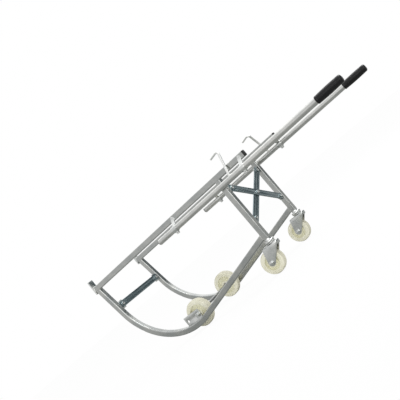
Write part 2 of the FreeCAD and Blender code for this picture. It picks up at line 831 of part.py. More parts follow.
def make_wheel_bracket(side, sign):
    """Makes the plate on the inner face of a rocker that carries one end of the front axle."""
    name = f"wheel_bracket_{side}"
    rear = front_axle_place + s.bracket_reach
    low = front_axle_height + s.bracket_above - s.bracket_height
    inner = inner_face - s.bracket_thickness if sign > 0 else -inner_face
    plate = box(f"{name}_plate", s.bracket_length, s.bracket_thickness, s.bracket_height,
                rear - s.bracket_length, inner, low)
    depth = s.bracket_thickness + s.cut_overrun * 2
    axle = cylinder(f"{name}_axle_hole", front_axle_radius + s.running_clearance, depth, "Y",
                    front_axle_place, inner - s.cut_overrun, front_axle_height)
    spare = cylinder(f"{name}_spare_hole", s.spare_hole_diameter / 2, depth, "Y",
                     rear - s.bracket_length + s.spare_hole_inset, inner - s.cut_overrun,
                     front_axle_height)
    finish(cut(name, cut(f"{name}_drilled", plate, axle), spare), name)


def wheel(name, diameter, width, hub_width, hub_diameter, rim_inside, web, bore):
    """Turns a moulded wheel with a recessed ring on both faces."""
    tread = diameter / 2
    half = width / 2
    hub_half = hub_width / 2
    web_half = web / 2
    hub = hub_diameter / 2
    rim = rim_inside / 2
    upper = (
        (tread, half - s.tread_edge),
        (tread - s.tread_edge, half),
        (rim, half),
        (rim - s.recess_slope, web_half),
        (hub + s.recess_slope, web_half),
        (hub, hub_half),
        (bore, hub_half),
    )
    lower = tuple((radius, -height) for radius, height in reversed(upper))
    return turned(name, upper + lower, "XY_Plane", "V_Axis")


def make_front_wheel(side, sign):
    where = (front_axle_place, front_wheel_place * sign, front_axle_height)
    bush = s.front_bush_diameter / 2
    half = s.front_hub_width / 2
    roller = wheel(f"front_wheel_{side}", s.front_wheel_diameter, s.front_wheel_width, s.front_hub_width,
                   s.front_hub_diameter, s.front_rim_inside, s.front_web, bush)
    finish(roller, f"front_wheel_{side}", *where)
    sleeve = tube_ring(f"front_bush_{side}", bush, front_axle_radius + s.running_clearance,
                       s.front_hub_width, "Y", y=-half)
    finish(sleeve, f"front_bush_{side}", *where)


def make_front_axle():
    end = inner_face + s.washer_thickness + s.axle_nut_height + s.axle_tail
    where = (front_axle_place, front_axle_height)
    axle = cylinder("front_axle", front_axle_radius, end * 2, "Y")
    finish(axle, "front_axle", where[0], -end, where[1])
    reach = front_wheel_place - s.front_hub_width / 2 - s.end_clearance
    spacer = tube_ring("axle_spacer", front_axle_radius + s.axle_spacer_wall, front_axle_radius, reach * 2, "Y",
                       where[0], -reach, where[1])
    finish(spacer, "axle_spacer")
    nuts = []
    washers = []
    thickness = s.washer_thickness - s.end_clearance
    for side, sign in SIDES:
        outside = inner_face if sign > 0 else -inner_face - s.washer_thickness
        nut_low = inner_face + s.washer_thickness
        nut_low = nut_low if sign > 0 else -nut_low - s.axle_nut_height
        within = inner_face - s.bracket_thickness
        within = within - thickness if sign > 0 else -within
        nuts.append(hex_nut(f"axle_nut_{side}", s.axle_nut_flats, s.axle_nut_height, front_axle_radius,
                            "Y", where[0], nut_low, where[1]))
        washers.append(tube_ring(f"outer_washer_{side}", s.axle_nut_flats / 2, front_axle_radius,
                                 s.washer_thickness, "Y", where[0], outside, where[1]))
        washers.append(tube_ring(f"inner_washer_{side}", s.washer_diameter / 2, front_axle_radius,
                                 thickness, "Y", where[0], within, where[1]))
    finish(group("axle_nuts", nuts), "axle_nuts")
    finish(group("axle_washers", washers), "axle_washers")


def make_castor_head(side, sign):
    """Turns the fixed half of the swivel head and the kingpin that hangs the fork from it."""
    pin_radius = s.kingpin_diameter / 2
    cup = s.cup_diameter / 2
    collar = s.collar_diameter / 2
    height = s.head_height
    where = (leg_place, side_place * sign)
    head = turned(f"castor_head_{side}", (
        (pin_radius, zero),
        (cup - s.cup_bevel, zero),
        (cup, s.cup_bevel),
        (cup, s.cup_height - s.cup_bevel),
        (cup - s.cup_bevel, s.cup_height),
        (collar, s.cup_height),
        (collar, height),
        (pin_radius, height),
    ), "XZ_Plane", "V_Axis")
    finish(head, f"castor_head_{side}", *where, cup_bottom)
    head_top = crown_under - s.end_clearance
    bottom = head_top - s.kingpin_head
    kingpin = turned(f"castor_kingpin_{side}", (
        (zero, zero),
        (s.kingpin_head_diameter / 2, zero),
        (s.kingpin_head_diameter / 2, s.kingpin_head),
        (pin_radius, s.kingpin_head),
        (pin_radius, leg_bottom - bottom),
        (zero, leg_bottom - bottom),
    ), "XZ_Plane", "V_Axis")
    finish(kingpin, f"castor_kingpin_{side}", *where, bottom)


def make_castor_fork(side, sign):
    """Presses a fork with a flat crown, its arms swept back to the wheel's axle."""
    name = f"castor_fork_{side}"
    fork = new_body(name)
    end = s.fork_end_radius
    axle = (-s.castor_trail, castor_axle_height)
    rear = -s.castor_trail - end
    landing = (axle[0] + end * cosine(s.fork_end_angle), axle[1] - end * sine(s.fork_end_angle))
    corners = (
        (rear, axle[1]),
        (-s.crown_rear, crown_top),
        (s.crown_front, crown_top),
        landing,
    )
    sides = new_sketch(fork, "sides", "XZ_Plane")
    lines = [line(sides, corners[0], corners[1])]
    for index in range(1, len(corners) - 1):
        lines.append(line(sides, corners[index], corners[index + 1]))
    arc_between(sides, lines[-1], lines[0], axle, end, -s.fork_end_angle, as_size(-HALF_TURN_ANGLE))
    add_pad(fork, sides, fork_outside, symmetric=True)
    slot = new_sketch(fork, "slot", "XZ_Plane")
    outline(slot, (
        (rear - s.cut_overrun, zero),
        (s.crown_front + s.cut_overrun, zero),
        (s.crown_front + s.cut_overrun, crown_under),
        (rear - s.cut_overrun, crown_under),
    ))
    add_pocket(fork, slot, fork_inside, symmetric=True)
    bore = new_sketch(fork, "bore", "XY_Plane", crown_top + s.cut_overrun)
    ring(bore, s.kingpin_diameter / 2 + s.running_clearance)
    add_pocket(fork, bore, s.cut_overrun * 2)
    hole = new_sketch(fork, "axle_hole", "XZ_Plane")
    ring(hole, s.castor_axle_diameter / 2, *axle)
    add_pocket(fork, hole, fork_outside + s.cut_overrun, symmetric=True)
    finish(fork, name, leg_place, side_place * sign)
    race = tube_ring(f"castor_race_{side}", s.race_diameter / 2, s.race_bore / 2, s.race_height, "Z")
    finish(race, f"castor_race_{side}", leg_place, side_place * sign, crown_top)


def make_castor_axle(side, sign):
    """Makes the bolt through the fork, its nut, the sleeve between the arms and the wheel on it."""
    where = (leg_place - s.castor_trail, side_place * sign, castor_axle_height)
    radius = s.castor_axle_diameter / 2
    half = fork_outside / 2
    stem = fork_outside + s.castor_axle_nut + s.bolt_tail
    head_low = half if sign > 0 else -half - s.castor_axle_head
    stem_low = half - stem if sign > 0 else -half
    nut_low = -half - s.castor_axle_nut if sign > 0 else half
    head = hexagon(f"castor_axle_head_{side}", s.castor_axle_flats, s.castor_axle_head, "Y", y=head_low)
    shank = cylinder(f"castor_axle_stem_{side}", radius, stem, "Y", y=stem_low)
    finish(fuse(f"castor_axle_bolt_{side}", head, shank), f"castor_axle_bolt_{side}", *where)
    nut = hex_nut(f"castor_axle_nut_{side}", s.castor_axle_flats, s.castor_axle_nut, radius, "Y", y=nut_low)
    finish(nut, f"castor_axle_nut_{side}", *where)
    bush = s.castor_bush_diameter / 2
    sleeve = tube_ring(f"castor_bush_{side}", bush, radius, fork_inside, "Y", y=-fork_inside / 2)
    finish(sleeve, f"castor_bush_{side}", *where)
    roller = wheel(f"castor_wheel_{side}", s.castor_wheel_diameter, s.castor_wheel_width,
                   s.castor_hub_width, s.castor_hub_diameter, s.castor_rim_inside, s.castor_web,
                   bush + s.running_clearance)
    finish(roller, f"castor_wheel_{side}", *where)


def check_and_write():
    """Stops if any feature failed, then writes one file for each piece."""
    for thing in doc.Objects:
        if "Invalid" in thing.State or "Error" in thing.State:
            raise RuntimeError(f"{thing.Name} failed: {thing.State}")
    os.makedirs("parts", exist_ok=True)
    for piece in pieces:
        shape = piece.Shape
        if shape.isNull() or not shape.isValid() or not shape.Solids:
            raise RuntimeError(f"{piece.Label} is not a valid solid")
        shape.exportStep(os.path.join("parts", f"{piece.Label}.step"))
        print(f"{piece.Label}: {len(shape.Solids)} solid, {shape.Volume / 1000:.2f} cm3")


for side_name, side_sign in SIDES:
    make_rail(side_name, side_sign)
    make_rail_cap(side_name, side_sign)
    make_rear_leg(side_name, side_sign)
    make_rocker(side_name, side_sign)
    make_toe_plate(side_name, side_sign)
    make_handle(side_name, side_sign)
    make_wheel_bracket(side_name, side_sign)
    make_front_wheel(side_name, side_sign)
    make_castor_head(side_name, side_sign)
    make_castor_fork(side_name, side_sign)
    make_castor_axle(side_name, side_sign)
make_cross_bar()
make_brace()
make_guides()
make_front_axle()
doc.recompute()
check_and_write()
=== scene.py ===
# %% [markdown]
# # A drum trolley in zinc-plated steel
# The trolley's tubes, plates, axles and castors come from the CAD model as a fixed frame. This
# lesson dresses that frame: it turns the wheels and grips as on a lathe, presses the castor forks,
# rounds the edges that a press or a saw leaves, lays the weld beads, and gives each surface the
# finish of its real material, with shade painted into the wheels' recesses and onto the flat bars.

# %% Load the imported trolley
import json
import math

import bpy
from mathutils import Matrix, Vector


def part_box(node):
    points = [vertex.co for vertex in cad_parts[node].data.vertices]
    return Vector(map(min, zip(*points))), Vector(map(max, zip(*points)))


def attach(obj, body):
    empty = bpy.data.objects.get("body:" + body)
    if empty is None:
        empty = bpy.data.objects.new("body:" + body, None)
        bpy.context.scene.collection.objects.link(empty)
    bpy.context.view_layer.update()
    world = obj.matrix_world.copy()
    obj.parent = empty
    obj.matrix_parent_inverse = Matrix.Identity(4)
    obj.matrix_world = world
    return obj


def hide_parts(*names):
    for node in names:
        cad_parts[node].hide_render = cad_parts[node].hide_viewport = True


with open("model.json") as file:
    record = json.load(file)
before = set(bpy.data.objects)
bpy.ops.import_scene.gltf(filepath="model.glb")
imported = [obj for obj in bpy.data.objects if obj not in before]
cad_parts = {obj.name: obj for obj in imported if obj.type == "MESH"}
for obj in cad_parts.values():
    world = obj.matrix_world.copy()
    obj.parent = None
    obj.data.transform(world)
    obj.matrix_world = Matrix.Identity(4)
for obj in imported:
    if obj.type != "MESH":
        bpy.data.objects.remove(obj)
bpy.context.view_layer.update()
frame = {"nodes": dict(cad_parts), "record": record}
nodes = frame["nodes"]

# %% [markdown]
# ## Colours and nodes
# Each finish below starts from sRGB hex colours, as a paint chart gives them. Blender's shaders work
# in linear light, so one function converts them. A second function adds a shader node, fills its
# sockets and links it, which keeps each recipe short enough to read as a list. A third starts an
# empty material.

# %% Colour and node helpers
def colour(code):
    """Turns an sRGB hex colour into linear red, green, blue and alpha."""
    parts = [int(code[place:place + 2], 16) / 255 for place in (1, 3, 5)]
    return tuple(p / 12.92 if p <= 0.04045 else ((p + 0.055) / 1.055) ** 2.4 for p in parts) + (1.0,)


def add(tree, kind, settings=(), links=()):
    """Adds a node. A setting in lower case is the node's own, any other is the value of a socket."""
    node = tree.nodes.new(kind)
    for name, value in dict(settings).items():
        if isinstance(name, str) and name.islower():
            setattr(node, name, value)
        else:
            node.inputs[name].default_value = value
    for name, socket in dict(links).items():
        tree.links.new(socket, node.inputs[name])
    return node


def new_finish(name):
    finish = bpy.data.materials.new(name)
    finish.use_nodes = True
    tree = finish.node_tree
    tree.nodes.clear()
    return finish, tree


print("the grey #808080 is", round(colour("#808080")[0], 3), "in linear light")

# %% [markdown]
# ## Zinc plate
# Most of the trolley is mild steel that was welded, pickled and zinc-plated in a bath. The bath
# leaves a satin metal whose tone drifts in soft clouds a few centimetres wide, with a fine grain
# and thin rub marks from handling. One recipe makes every plated finish. The tones, the roughness
# and the direction of the grain change from tube to plate to rod. The flat bars' darker blue-grey
# tone is painted shade.

# %% The recipe for zinc plate
MM = 0.001
CLOUD, STREAK = 45 * MM, 2 * MM


def zinc_finish(name, light, dark, low, high, grain):
    """Satin zinc plate: cloudy tone, fine grain along the stock, rubbed streaks in the roughness."""
    finish, tree = new_finish(name)
    place = add(tree, "ShaderNodeTexCoord").outputs["Object"]
    clouds = add(tree, "ShaderNodeTexNoise", {"Scale": 1 / CLOUD, "Detail": 4.0, "Roughness": 0.6},
                 {"Vector": place})
    # The real grain is near 0.2 mm; it is drawn at 2 mm so that it shows in a render
    stretched = add(tree, "ShaderNodeMapping", {"Scale": grain}, {"Vector": place})
    streaks = add(tree, "ShaderNodeTexNoise", {"Scale": 1 / STREAK, "Detail": 2.0},
                  {"Vector": stretched.outputs["Vector"]})
    spread = add(tree, "ShaderNodeMapRange", {"From Min": 0.35, "From Max": 0.65},
                 {0: clouds.outputs["Fac"]})
    tone = add(tree, "ShaderNodeMix", {"data_type": "RGBA", 6: colour(dark), 7: colour(light)},
               {0: spread.outputs["Result"]})
    rubbed = add(tree, "ShaderNodeMapRange",
                 {"From Min": 0.3, "From Max": 0.7, "To Min": low, "To Max": high},
                 {0: streaks.outputs["Fac"]})
    bumps = add(tree, "ShaderNodeBump", {"Strength": 0.01, "Distance": 0.01 * MM},
                {"Height": streaks.outputs["Fac"]})
    shader = add(tree, "ShaderNodeBsdfPrincipled", {"Metallic": 1.0},
                 {"Base Color": tone.outputs[2], "Roughness": rubbed.outputs["Result"],
                  "Normal": bumps.outputs["Normal"]})
    add(tree, "ShaderNodeOutputMaterial", links={"Surface": shader.outputs["BSDF"]})
    return finish


# %% The plated finishes
along_x, along_y, even = (0.06, 1, 1), (1, 0.06, 1), (0.4, 0.4, 0.4)
finishes = {
    "zinc_tube": zinc_finish("zinc_plated_square_tube", "#bcbdba", "#aaadac", 0.24, 0.28, even),
    "zinc_plate": zinc_finish("zinc_plated_pressed_steel", "#e0e1df", "#c4c7c6", 0.26, 0.36, even),
    # The flat bars are painted darker and bluer than the other zinc: painted shade
    "zinc_flat": zinc_finish("zinc_plated_flat_bar", "#8c9a9e", "#77868b", 0.29, 0.34, along_y),
    "handle_zinc": zinc_finish("zinc_plated_round_tube", "#dadad7", "#cbccca", 0.27, 0.32, along_x),
    "bright_rod": zinc_finish("bright_plated_rod", "#f6f6f4", "#eff0ee", 0.24, 0.29, even),
    "bright_zinc": zinc_finish("bright_zinc_fasteners", "#e2e3e1", "#d2d4d3", 0.18, 0.28, even),
    "bush_steel": zinc_finish("turned_steel_bush", "#a3a39f", "#86878a", 0.25, 0.38, along_y),
}
print("plated finishes:", ", ".join(finishes))

# %% [markdown]
# ## Nylon, rubber and plastic
# The wheels are cast nylon in its natural ivory: slightly waxy, with a faint cloudiness and a satin
# skin from the mould. The grips are black rubber with a fine moulded grain that dulls the highlight.
# The caps in the tube ends are harder plastic. Nylon and black polymers each get a recipe of noise
# at two sizes, one for the tone and one for the skin.

# %% Nylon
HAZE, SCUFF = 30 * MM, 2.5 * MM


def nylon_finish(name, light, dark):
    """Natural cast nylon: cloudy ivory, satin from the mould, with faint scuffs."""
    finish, tree = new_finish(name)
    place = add(tree, "ShaderNodeTexCoord").outputs["Object"]
    clouds = add(tree, "ShaderNodeTexNoise", {"Scale": 1 / HAZE, "Detail": 3.0}, {"Vector": place})
    # Real scuffs are finer than 1 mm; they are drawn at 2.5 mm so that they show in a render
    scuffs = add(tree, "ShaderNodeTexNoise", {"Scale": 1 / SCUFF, "Detail": 5.0}, {"Vector": place})
    spread = add(tree, "ShaderNodeMapRange", {"From Min": 0.35, "From Max": 0.65},
                 {0: clouds.outputs["Fac"]})
    tone = add(tree, "ShaderNodeMix", {"data_type": "RGBA", 6: colour(dark), 7: colour(light)},
               {0: spread.outputs["Result"]})
    dull = add(tree, "ShaderNodeMapRange",
               {"From Min": 0.3, "From Max": 0.7, "To Min": 0.36, "To Max": 0.5},
               {0: scuffs.outputs["Fac"]})
    bumps = add(tree, "ShaderNodeBump", {"Strength": 0.03, "Distance": 0.1 * MM},
                {"Height": scuffs.outputs["Fac"]})
    shader = add(tree, "ShaderNodeBsdfPrincipled", {"IOR": 1.53},
                 {"Base Color": tone.outputs[2], "Roughness": dull.outputs["Result"],
                  "Normal": bumps.outputs["Normal"]})
    add(tree, "ShaderNodeOutputMaterial", links={"Surface": shader.outputs["BSDF"]})
    return finish


finishes["ivory_nylon"] = nylon_finish("natural_cast_nylon", "#f2f0dc", "#e8e5cd")
# In the recess the ivory is painted deeper and yellower: painted shade
web_finish = nylon_finish("unrubbed_cast_nylon", "#eceacf", "#e3e0c0")
# The tread is a greyer ivory than the sides
tread_finish = nylon_finish("rolled_cast_nylon", "#d6d3bf", "#c4c1ab")
print("nylon:", finishes["ivory_nylon"].name, web_finish.name, tread_finish.name)

# %% Rubber and plastic
BLOOM = 14 * MM


def moulded_finish(name, light, dark, rough, grit):
    """Black moulded polymer: near-black with a dusty bloom and a fine grain that breaks the sheen."""
    finish, tree = new_finish(name)
    place = add(tree, "ShaderNodeTexCoord").outputs["Object"]
    bloom = add(tree, "ShaderNodeTexNoise", {"Scale": 1 / BLOOM, "Detail": 4.0}, {"Vector": place})
    grain = add(tree, "ShaderNodeTexNoise", {"Scale": 1 / grit, "Detail": 2.0}, {"Vector": place})
    tone = add(tree, "ShaderNodeMix", {"data_type": "RGBA", 6: colour(dark), 7: colour(light)},
               {0: bloom.outputs["Fac"]})
    dull = add(tree, "ShaderNodeMapRange", {"To Min": rough - 0.08, "To Max": rough + 0.08},
               {0: grain.outputs["Fac"]})
    bumps = add(tree, "ShaderNodeBump", {"Strength": 0.12, "Distance": 0.1 * MM},
                {"Height": grain.outputs["Fac"]})
    shader = add(tree, "ShaderNodeBsdfPrincipled", {"IOR": 1.5, "Specular IOR Level": 0.3},
                 {"Base Color": tone.outputs[2], "Roughness": dull.outputs["Result"],
                  "Normal": bumps.outputs["Normal"]})
    add(tree, "ShaderNodeOutputMaterial", links={"Surface": shader.outputs["BSDF"]})
    return finish


# The grain of a mould is near 0.3 mm; it is drawn at about 1.5 mm so that it shows in a render
finishes["black_rubber"] = moulded_finish("black_moulded_rubber", "#161618", "#0c0c0e", 0.36, 1.6 * MM)
finishes["black_plastic"] = moulded_finish("black_moulded_plastic", "#242424", "#161616", 0.4, 1.5 * MM)
print("all finishes:", ", ".join(finishes))

# %% [markdown]
# ## Dressing the CAD pieces
# The record lists the finish of every CAD piece by a slot name. A piece whose shape is right as it
# stands only needs its finish put in its material slot, and its mesh stays as the CAD made it.

# %% Give every CAD piece its finish
slot_of = {part["node"]: part["material_slot"] for part in frame["record"]["subparts"]}
for name, node in nodes.items():
    node.data.materials.clear()
    node.data.materials.append(finishes[slot_of[name]])
print("dressed", len(nodes), "CAD pieces")

# %% [markdown]
# ## Working by hand, in code
# Three small tools are used again and again. One clears the selection, so that an operator touches
# only the new piece. One turns a shape as a lathe does, ring after ring, by extruding and resizing.
# One finishes a piece: its place goes into its mesh, it is smoothed, it takes its finish and rides
# on its body.

# %% Turning tools
# A ring of POLE millimetres merges to one point, which closes the end of a turned piece
POLE, MERGE = 0.01, 0.03


def clear_selection():
    if bpy.context.object and bpy.context.object.mode != "OBJECT":
        bpy.ops.object.mode_set(mode="OBJECT")
    bpy.ops.object.select_all(action="DESELECT")


def turned(name, rings, sides):
    """Turns a piece about local Z from (height, radius) rings in millimetres."""
    clear_selection()
    height, radius = rings[0]
    bpy.ops.mesh.primitive_circle_add(vertices=sides, radius=radius * MM)
    piece = bpy.context.object
    piece.name = piece.data.name = name
    bpy.ops.object.mode_set(mode="EDIT")
    bpy.ops.mesh.select_all(action="SELECT")
    bpy.ops.transform.translate(value=(0, 0, height * MM))
    for next_height, next_radius in rings[1:]:
        rise = {"value": (0, 0, (next_height - height) * MM)}
        bpy.ops.mesh.extrude_edges_move(TRANSFORM_OT_translate=rise)
        ratio = next_radius / radius
        bpy.ops.transform.resize(value=(ratio, ratio, 1), center_override=(0, 0, next_height * MM))
        height, radius = next_height, next_radius
    bpy.ops.mesh.select_all(action="SELECT")
    bpy.ops.mesh.remove_doubles(threshold=MERGE * MM)
    bpy.ops.mesh.normals_make_consistent(inside=False)
    bpy.ops.object.mode_set(mode="OBJECT")
    return piece


# %% Finishing tool
CREASE, SOFT_CREASE = 35, 60


def finish_piece(piece, slot, body, replaced=(), smooth=CREASE, matrix=None):
    """Puts a piece in its place, with its finish, on its body, instead of the nodes it replaces."""
    clear_selection()
    piece.select_set(True)
    bpy.context.view_layer.objects.active = piece
    if matrix is not None:
        piece.matrix_world = matrix
    bpy.ops.object.transform_apply(location=True, rotation=True, scale=True)
    bpy.ops.object.shade_smooth_by_angle(angle=math.radians(smooth))
    piece.data.materials.clear()
    piece.data.materials.append(finishes[slot])
    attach(piece, body)
    if replaced:
        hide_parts(*replaced)
    return piece


# %% [markdown]
# ## Nylon wheels
# A cast wheel has a flat tread with rounded shoulders, a rim, a recessed web on both sides and a
# hub that stands a little proud. All of that is round about the axle, so the whole wheel is one
# turned profile that starts and ends at the bore. The tread carries the faint line where the two
# halves of the mould met.

# %% The profile of a wheel
# The rounds, as steps in millimetres along the axle and away from it
HUB_FOOT = ((0.0, 4.0), (1.2, 1.6), (3.0, 0.7))
HUB_EDGE = ((-1.0, 0.0), (-0.3, -0.3), (0.0, -1.0))
BORE_EDGE = ((0.0, 0.8), (-0.6, 0.0))
RIM_FOOT = ((0.0, -6.0), (0.6, -3.6), (2.2, -1.8))
RIM_EDGE = ((-1.2, -0.4), (-0.35, 0.0), (0.0, 0.9))
SHOULDER, SEAM_RISE, ROUND_STEP = 6.5, 0.15, 15
MOULD_LINE = ((0.6, -SEAM_RISE), (0.25, 0.0), (-0.25, 0.0), (-0.6, -SEAM_RISE))


def shifted(steps, height, radius):
    return [(height + along, radius + away) for along, away in steps]


def wheel_rings(diameter, width, hub_width, hub, rim, web, bore):
    half, hub_half, web_half, outer = width / 2, hub_width / 2, web / 2, diameter / 2
    side = shifted(HUB_FOOT, web_half, hub / 2)
    side += shifted(HUB_EDGE, hub_half, hub / 2) + shifted(BORE_EDGE, hub_half, bore / 2)
    outward = side[::-1] + shifted(RIM_FOOT, web_half, rim / 2) + shifted(RIM_EDGE, half, rim / 2)
    flat, core = half - SHOULDER, outer - SHOULDER
    for step in range(6):
        angle = math.radians(ROUND_STEP * step)
        outward.append((flat + SHOULDER * math.cos(angle), core + SHOULDER * math.sin(angle)))
    outward += [(flat * share, outer - SEAM_RISE) for share in (1.0, 0.6, 0.3)]
    rings = outward + shifted(MOULD_LINE, 0.0, outer) + [(-h, r) for h, r in reversed(outward)]
    return rings + [rings[0]]


# %% The painted recess shade and the greyer tread of a wheel
WEB_SLOT, TREAD_SLOT = 1, 2
RIM_LIP, FACE_LIP, TREAD_DEPTH = 0.2, 0.4, 2.2


def tint_faces(wheel, centre, sizes):
    """Gives the recessed webs their painted shade and the tread its greyer ivory, by each face's place."""
    wheel.data.materials.append(web_finish)
    wheel.data.materials.append(tread_finish)
    for face in wheel.data.polygons:
        offset = (face.center - centre) / MM
        reach = math.hypot(offset.x, offset.z)
        recessed = abs(offset.y) < sizes["width"] / 2 - FACE_LIP
        if recessed and sizes["hub"] / 2 < reach < sizes["rim"] / 2 - RIM_LIP:
            # Recessed web faces take the painted recess shade
            face.material_index = WEB_SLOT
        elif reach > sizes["diameter"] / 2 - TREAD_DEPTH:
            face.material_index = TREAD_SLOT


# %% Turn the wheels
SIDES = ("left", "right")
WHEELS = {
    "front": {"diameter": 125, "width": 32, "hub_width": 34, "hub": 42, "rim": 84, "web": 20, "bore": 20},
    "castor": {"diameter": 100, "width": 32, "hub_width": 34, "hub": 36, "rim": 62, "web": 20, "bore": 15},
}
AXIS_Y = Matrix.Rotation(math.radians(-90), 4, "X")
for kind, sizes in WHEELS.items():
    for side in SIDES:
        node = f"{kind}_wheel_{side}"
        low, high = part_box(node)
        centre = (low + high) / 2
        wheel = turned(f"nylon_{node}", wheel_rings(**sizes), 96)
        finish_piece(wheel, "ivory_nylon", f"{kind}_roller_{side}", (node,),
                     matrix=Matrix.Translation(centre) @ AXIS_Y)
        tint_faces(wheel, centre, sizes)
        print(node, len(wheel.data.polygons), "faces")

# %% [markdown]
# ## Rubber grips
# Each grip is a sleeve pushed over the end of its tube. It swells slightly in the middle, carries a
# row of shallow rings for the fingers and closes over the tube in a rounded end. It is turned like
# the wheels, in one profile from the bottom of the bore round the mouth to the end. A ring is a
# groove of a few stations, so the row is written as a loop.

# %% The profile of a grip
BORE_MOUTH = ((2.0, 0.0), (0.0, 0.6))
MOUTH = ((0.0, -1.3), (0.9, -0.4), (2.4, 0.0))
FINGER_RING = ((0.0, -0.06), (0.5, -0.4), (1.1, -0.4), (1.6, -0.06), (2.8, 0.0))
ROW_START, ROW_REST, PITCH = 9.0, 14.0, 4.2
SWELL, SWELL_POWER, END_ROUND = 1.1, 0.7, 7.0


def grip_rings(length, diameter, bore, depth):
    waist = diameter / 2 - SWELL
    rings = [(depth, POLE), (depth, bore / 2)] + shifted(BORE_MOUTH, 0.0, bore / 2)
    rings += shifted(MOUTH, 0.0, waist)
    row = length - ROW_REST - ROW_START
    for index in range(int(row / PITCH)):
        swell = math.sin(math.pi * index * PITCH / row) ** SWELL_POWER
        rings += shifted(FINGER_RING, ROW_START + index * PITCH, waist + SWELL * swell)
    flat, core = length - END_ROUND, waist - END_ROUND
    for step in range(7):
        angle = math.radians(ROUND_STEP * step)
        rings.append((flat + END_ROUND * math.sin(angle), core + END_ROUND * math.cos(angle)))
    return rings + [(length, POLE)]


# %% Turn the grips
AXIS_X = Matrix.Rotation(math.radians(90), 4, "Y")
BORE_PLAY = 0.2 * MM
for side in SIDES:
    low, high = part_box(f"grip_{side}")
    place = Vector((low.x, (low.y + high.y) / 2, (low.z + high.z) / 2))
    tube_low, tube_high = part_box(f"handle_tube_{side}")
    bore, depth = tube_high.y - tube_low.y + BORE_PLAY, tube_high.x - low.x + BORE_PLAY
    profile = grip_rings((high.x - low.x) / MM, (high.y - low.y) / MM, bore / MM, depth / MM)
    grip = turned(f"ringed_grip_{side}", profile, 72)
    finish_piece(grip, "black_rubber", f"handle_{side}", (f"grip_{side}",),
                 matrix=Matrix.Translation(place) @ AXIS_X)
    print("grip", side, len(grip.data.polygons), "faces")

# %% [markdown]
# ## Pressed castor forks
# A press turns one flat blank into the whole fork: a flat crown under the race, rounded shoulders,
# and two arms that sweep back and run together at the axle. A lip turns down at the front of the
# crown and runs on into the front edges of the arms, which curl in for stiffness. The same is done
# here. A flat grid is the blank. Its rows cross the fork from arm to arm and its columns follow the
# crown from rear to front, with the lip as the last. Each point is pressed to its place, and then
# the sheet gets its thickness.

# %% Where each point of the blank goes
# Along the crown from rear to front: places (x, z) in millimetres, and how far the arm curls in
CROWN = [(-44.5, 110.0), (-40, 111.2), (-26, 111.2), (-8, 111.2),
         (8, 111.2), (20, 111.2), (27, 111.0), (28.3, 107.6)]
CURL = (0, 0, 0, 0, 0.5, 1.6, 2.9, 4.2)
LIP_X, LIP_Z, LIP_CURL = 28.3, 93.0, 3.0
# Down the arm: shares of the way from the crown to the eye round the axle
ARM_SHARES = (1.0, 0.72, 0.38, 0.06)
AXLE_X, AXLE_Z, EYE, EYE_START, EYE_SWEEP = -44, 50, 15.6, 180, 140
# The sheet, half the fork's outer width, and the bend from the crown into an arm
SHEET, OUTER_HALF = 3.5, 20.9
CROWN_EDGE, BEND_IN, BEND_DROP, ARM_DROP, CURL_POWER = 6, 0.8, 1.6, 5, 2.5
EDGE = len(CROWN) - 1
COLUMNS, ROWS = len(CROWN), 12


def fork_point(column, row):
    """Gives a blank's point its place in millimetres from the foot of the swivel's axis."""
    lip = column > EDGE
    column = min(column, EDGE)
    x, z = CROWN[column]
    half = OUTER_HALF - SHEET / 2
    across = row - ROWS // 2
    side = -1 if across < 0 else 1
    if lip and abs(across) <= 2:
        return LIP_X, across * (half - CROWN_EDGE) / 2, LIP_Z + abs(across) / 2
    if abs(across) <= 1:
        return x, across * (half - CROWN_EDGE), z
    if abs(across) == 2:
        return x, side * (half - BEND_IN - CURL[column]), z - BEND_DROP
    angle = math.radians(EYE_START + EYE_SWEEP * column / EDGE)
    end_x, end_z = AXLE_X + EYE * math.cos(angle), AXLE_Z + EYE * math.sin(angle)
    share = ARM_SHARES[ROWS // 2 - abs(across)]
    inward = (CURL[column] + (LIP_CURL if lip else 0)) * (1 - share) ** CURL_POWER
    top = z - ARM_DROP
    return x + (end_x - x) * share, side * (half - inward), top + (end_z - top) * share


# %% Press the forks
def pressed_fork(name):
    clear_selection()
    bpy.ops.mesh.primitive_grid_add(x_subdivisions=COLUMNS, y_subdivisions=ROWS, size=1)
    blank = bpy.context.object
    blank.name = blank.data.name = name
    for point in blank.data.vertices:
        column, row = round((point.co.x + 0.5) * COLUMNS), round((point.co.y + 0.5) * ROWS)
        point.co = Vector(fork_point(column, row)) * MM
    wall = blank.modifiers.new("sheet", "SOLIDIFY")
    wall.thickness = SHEET * MM
    wall.offset = 0
    smooth = blank.modifiers.new("press", "SUBSURF")
    smooth.levels = smooth.render_levels = 2
    for step in (wall, smooth):
        bpy.ops.object.modifier_apply(modifier=step.name)
    return blank


for side in SIDES:
    low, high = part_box(f"castor_kingpin_{side}")
    fork = pressed_fork(f"pressed_fork_{side}")
    place = Vector(((low.x + high.x) / 2, (low.y + high.y) / 2, 0))
    finish_piece(fork, "zinc_plate", f"castor_{side}", (f"castor_fork_{side}",), SOFT_CREASE,
                 Matrix.Translation(place))
    print("fork", side, len(fork.data.polygons), "faces")

# %% [markdown]
# ## Rounded edges
# Sawn bars, sheared plates, fasteners and moulded caps never have knife edges: tumbling, plating or
# the mould leaves a small round that catches the light. A copy of the CAD mesh is joined up, its
# flat faces are merged again, and a Bevel modifier rounds every edge sharper than thirty degrees.

# %% Tools for rounding
POINT_WIDTH, JOIN, FLAT_ANGLE, SHARP_ANGLE = 0.3, 0.002, 0.5, 30


